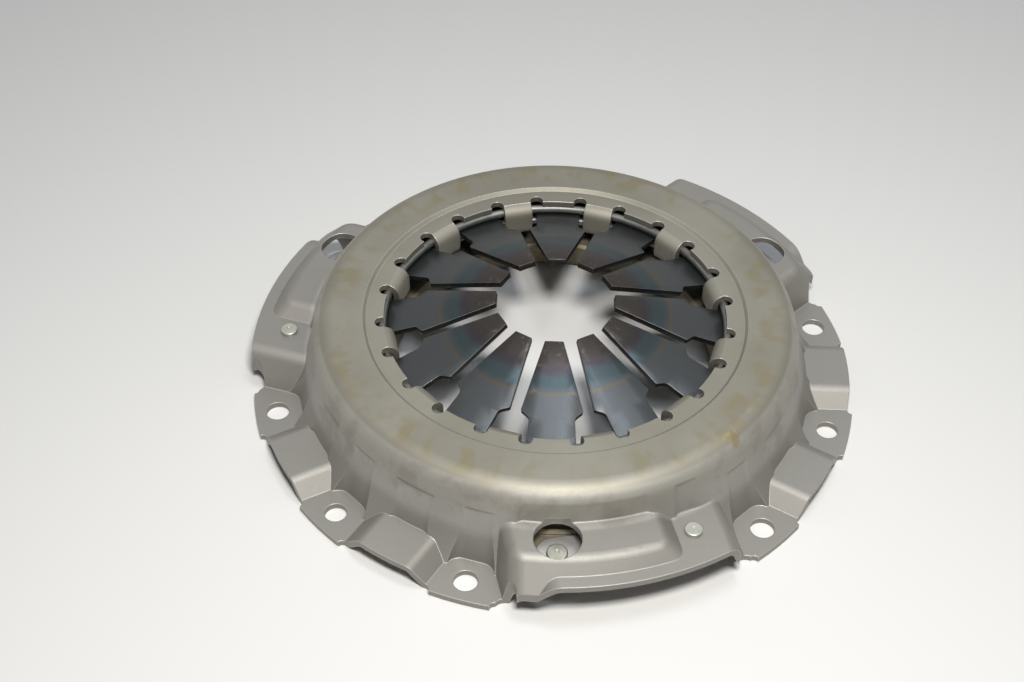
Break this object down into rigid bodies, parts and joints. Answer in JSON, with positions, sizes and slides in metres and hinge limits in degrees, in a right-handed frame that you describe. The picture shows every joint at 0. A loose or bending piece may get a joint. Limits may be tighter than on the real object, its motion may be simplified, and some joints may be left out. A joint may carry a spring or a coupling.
{
  "type": "clutch cover assembly",
  "caption": "Push-type clutch cover: pressed steel cover with bolt tabs, slotted diaphragm spring on fulcrum wires, and a strap-driven pressure plate underneath.",
  "frame": {"origin": "clutch axis in the plane of the flywheel, at the underside of the bolt tabs", "axes": "+Z along the clutch axis, away from the flywheel; -Y towards the first strap station"},
  "size_m": [0.238, 0.238, 0.0405],
  "materials": {
    "cover_steel": "satin phosphated pressed steel",
    "spring_steel": "dark tempered spring steel",
    "bright_wire": "bright drawn wire",
    "cast_iron": "machined and painted cast iron",
    "strap_steel": "cold rolled spring strip",
    "rivet_steel": "yellow passivated steel"
  },
  "bodies": {
    "cover": {"cover_pressing": "cover_steel", "diaphragm_spring": "spring_steel", "upper_fulcrum_wire": "bright_wire", "lower_fulcrum_wire": "bright_wire", "strap_1_leaf_1": "strap_steel", "strap_1_leaf_2": "strap_steel", "strap_1_leaf_3": "strap_steel", "strap_2_leaf_1": "strap_steel", "strap_2_leaf_2": "strap_steel", "strap_2_leaf_3": "strap_steel", "strap_3_leaf_1": "strap_steel", "strap_3_leaf_2": "strap_steel", "strap_3_leaf_3": "strap_steel", "cover_rivet_1": "rivet_steel", "cover_rivet_2": "rivet_steel", "cover_rivet_3": "rivet_steel"},
    "pressure_plate": {"pressure_plate": "cast_iron", "lug_rivet_1": "rivet_steel", "lug_rivet_2": "rivet_steel", "lug_rivet_3": "rivet_steel"}
  },
  "joints": [
    {"name": "plate_lift", "type": "slide", "parent": "cover", "child": "pressure_plate", "axis": [0, 0, 1], "range_m": [0, 0.0044], "stiffness_N_per_m": 20000, "deforming": ["diaphragm_spring", "strap_1_leaf_1", "strap_1_leaf_2", "strap_1_leaf_3", "strap_2_leaf_1", "strap_2_leaf_2", "strap_2_leaf_3", "strap_3_leaf_1", "strap_3_leaf_2", "strap_3_leaf_3"]}
  ]
}
